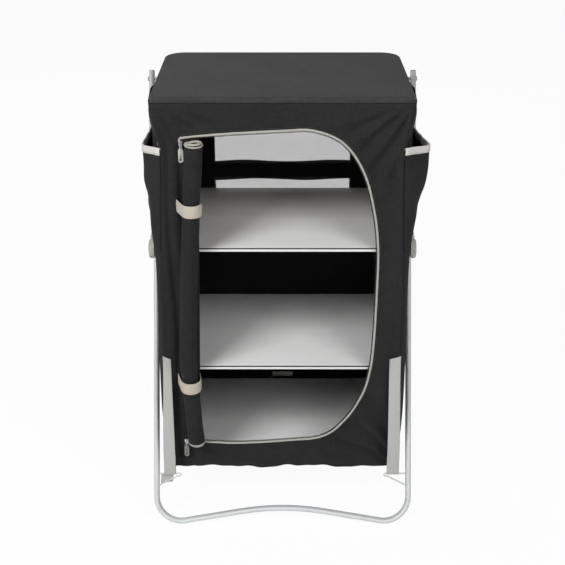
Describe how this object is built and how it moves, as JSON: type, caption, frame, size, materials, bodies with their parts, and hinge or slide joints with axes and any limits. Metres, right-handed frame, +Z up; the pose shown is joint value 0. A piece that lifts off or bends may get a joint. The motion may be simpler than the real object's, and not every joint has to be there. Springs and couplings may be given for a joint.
{
  "type": "camping cupboard",
  "caption": "Folding camping kitchen cupboard: dark fabric body with shelves and a rolled-up door under a flat top, on crossed tube legs.",
  "frame": {"origin": "on the ground, midway between the two foot bars and midway between the sides, straight under the bolts that cross the legs", "axes": "+Z up, +X to the right seen from the door, -Y is the door side and +Y the back"},
  "size_m": [0.6354, 0.5528, 1],
  "materials": {
    "aluminium": "satin silver oval tube",
    "steel": "plated steel",
    "cloth": "dark charcoal woven polyester",
    "mesh": "fine grey net",
    "piping": "light grey-beige woven binding",
    "binding": "off-white ribbed binding",
    "webbing": "light grey woven webbing",
    "tie": "beige webbing",
    "shelf": "light grey coated board",
    "shelf_edge": "bright grey edge trim",
    "board": "plain fibre board, hidden under the cover",
    "grey_plastic": "grey-beige moulded plastic",
    "black_plastic": "black moulded plastic"
  },
  "bodies": {
    "rear_legs": {"rear_leg_frame": "aluminium", "rear_leg_plug_left": "grey_plastic", "rear_leg_plug_right": "grey_plastic", "pivot_bolt_left": "steel", "pivot_bolt_right": "steel", "pivot_spacer_left": "black_plastic", "pivot_spacer_right": "black_plastic"},
    "front_legs": {"front_leg_frame": "aluminium", "front_leg_plug_left": "grey_plastic", "front_leg_plug_right": "grey_plastic", "front_leg_rivet_left": "steel", "front_leg_rivet_right": "steel", "hub_left": "grey_plastic", "hub_right": "grey_plastic", "strap_ring_left": "steel", "strap_ring_right": "steel"},
    "cupboard": {"top_frame": "aluminium", "top_frame_plug_left": "black_plastic", "top_frame_plug_right": "black_plastic", "hinge_block_left": "black_plastic", "hinge_block_right": "black_plastic", "hinge_rod": "steel", "latch_left": "black_plastic", "latch_right": "black_plastic", "top_board": "board", "top_cover": "cloth", "front_panel": "cloth", "back_panel": "cloth", "window_upper": "mesh", "window_lower": "mesh", "side_panel_left": "cloth", "side_panel_right": "cloth", "bottom_panel": "cloth", "pocket_left": "cloth", "pocket_right": "cloth", "pocket_binding_left": "binding", "pocket_binding_right": "binding", "door_roll": "cloth", "door_piping": "piping", "roll_tie_upper": "tie", "roll_tie_lower": "tie", "strap_left": "webbing", "strap_right": "webbing", "shelf_hangers_left": "webbing", "shelf_hangers_right": "webbing", "back_loop": "webbing"},
    "upper_shelf": {"shelf_upper": "shelf", "shelf_edge_upper": "shelf_edge"},
    "middle_shelf": {"shelf_middle": "shelf", "shelf_edge_middle": "shelf_edge"},
    "lower_shelf": {"shelf_lower": "shelf", "shelf_edge_lower": "shelf_edge"},
    "upper_zip_slider": {"zip_slider_upper": "steel"},
    "upper_zip_pull": {"zip_pull_upper": "steel"},
    "lower_zip_slider": {"zip_slider_lower": "steel"},
    "lower_zip_pull": {"zip_pull_lower": "steel"}
  },
  "joints": [
    {"name": "leg_fold", "type": "hinge", "parent": "rear_legs", "child": "front_legs", "pos_m": [0, 0, 0.586], "axis": [1, 0, 0], "range_deg": [0, 43], "deforming": ["front_panel", "back_panel", "window_upper", "window_lower", "side_panel_left", "side_panel_right", "bottom_panel", "pocket_left", "pocket_right", "pocket_binding_left", "pocket_binding_right", "door_roll", "door_piping", "roll_tie_upper", "roll_tie_lower", "strap_left", "strap_right", "shelf_hangers_left", "shelf_hangers_right", "back_loop"]},
    {"name": "top_tilt", "type": "hinge", "parent": "rear_legs", "child": "cupboard", "pos_m": [0, -0.1651, 0.945], "axis": [1, 0, 0], "range_deg": [-61.5, 0]},
    {"name": "upper_shelf_rise", "type": "slide", "parent": "cupboard", "child": "upper_shelf", "axis": [0, 0, 1], "range_m": [0, 0.261]},
    {"name": "middle_shelf_rise", "type": "slide", "parent": "cupboard", "child": "middle_shelf", "axis": [0, 0, 1], "range_m": [0, 0.522]},
    {"name": "lower_shelf_rise", "type": "slide", "parent": "cupboard", "child": "lower_shelf", "axis": [0, 0, 1], "range_m": [0, 0.743]},
    {"name": "upper_slider_rise", "type": "slide", "parent": "cupboard", "child": "upper_zip_slider", "axis": [0, 0, 1], "range_m": [0, 0.0699]},
    {"name": "lower_slider_rise", "type": "slide", "parent": "cupboard", "child": "lower_zip_slider", "axis": [0, 0, 1], "range_m": [0, 0.678]},
    {"name": "upper_pull_swing", "type": "hinge", "parent": "upper_zip_slider", "child": "upper_zip_pull", "pos_m": [-0.209, -0.1928, 0.8946], "axis": [-1, 0, 0], "range_deg": [0, 90]},
    {"name": "lower_pull_swing", "type": "hinge", "parent": "lower_zip_slider", "child": "lower_zip_pull", "pos_m": [-0.224, -0.1928, 0.1706], "axis": [-1, 0, 0], "range_deg": [0, 90]}
  ],
  "couplings": [
    {"joint": "top_tilt", "follows": "leg_fold", "ratio": -1.4186},
    {"joint": "upper_shelf_rise", "follows": "leg_fold", "m_per_rad": 0.34644},
    {"joint": "middle_shelf_rise", "follows": "leg_fold", "m_per_rad": 0.69421},
    {"joint": "lower_shelf_rise", "follows": "leg_fold", "m_per_rad": 0.98869},
    {"joint": "upper_slider_rise", "follows": "leg_fold", "m_per_rad": 0.09178},
    {"joint": "lower_slider_rise", "follows": "leg_fold", "m_per_rad": 0.90213}
  ]
}
